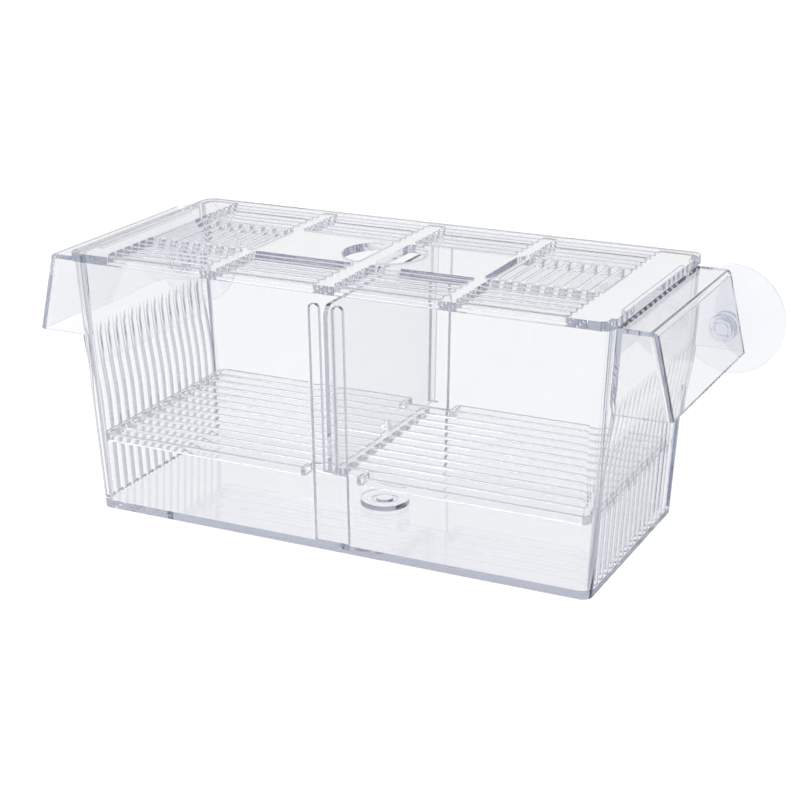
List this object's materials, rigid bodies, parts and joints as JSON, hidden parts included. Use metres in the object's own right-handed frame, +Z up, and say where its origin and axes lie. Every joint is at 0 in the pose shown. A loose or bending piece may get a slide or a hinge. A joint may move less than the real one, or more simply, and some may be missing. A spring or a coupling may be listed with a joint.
{
  "type": "fish breeding box",
  "caption": "Clear tapered tank with slotted end walls, open-bottomed float hoods, suction cups, a grilled lid, a slotted shelf and an upright divider.",
  "frame": {"origin": "centre of the tank's underside, where the box rests", "axes": "+X along the tank to the right-hand hood, +Y to the back, where the suction cups face, +Z up"},
  "size_m": [0.2586, 0.0985, 0.0956],
  "materials": {
    "clear_tank": "clear, faintly blue-violet polystyrene, polished",
    "clear_lid": "clear, faintly blue-violet polystyrene, polished",
    "clear_shelf": "clear, faintly blue-violet polystyrene, polished",
    "clear_divider": "clear, faintly blue-violet polystyrene, polished",
    "soft_cup": "soft clear vinyl, faintly blue, slightly cloudy"
  },
  "bodies": {
    "tank": {"tank": "clear_tank"},
    "lid": {"lid": "clear_lid"},
    "shelf": {"shelf": "clear_shelf"},
    "divider": {"divider": "clear_divider"},
    "left_cup": {"suction_cup_left": "soft_cup"},
    "right_cup": {"suction_cup_right": "soft_cup"}
  },
  "joints": [
    {"name": "lid_lift", "type": "slide", "parent": "tank", "child": "lid", "axis": [0, 0, 1], "range_m": [0, 0.12]},
    {"name": "divider_lift", "type": "slide", "parent": "tank", "child": "divider", "axis": [0, 0, 1], "range_m": [0, 0.072]},
    {"name": "shelf_lift", "type": "slide", "parent": "tank", "child": "shelf", "axis": [0, 0, 1], "range_m": [0, 0.0684]},
    {"name": "left_cup_turn", "type": "hinge", "parent": "tank", "child": "left_cup", "pos_m": [-0.1093, 0.041, 0.0718], "axis": [0, 1, 0], "continuous": true},
    {"name": "right_cup_turn", "type": "hinge", "parent": "tank", "child": "right_cup", "pos_m": [0.1093, 0.041, 0.0718], "axis": [0, 1, 0], "continuous": true}
  ],
  "couplings": [
    {"joint": "divider_lift", "follows": "lid_lift", "ratio": 0.6},
    {"joint": "shelf_lift", "follows": "lid_lift", "ratio": 0.57}
  ]
}
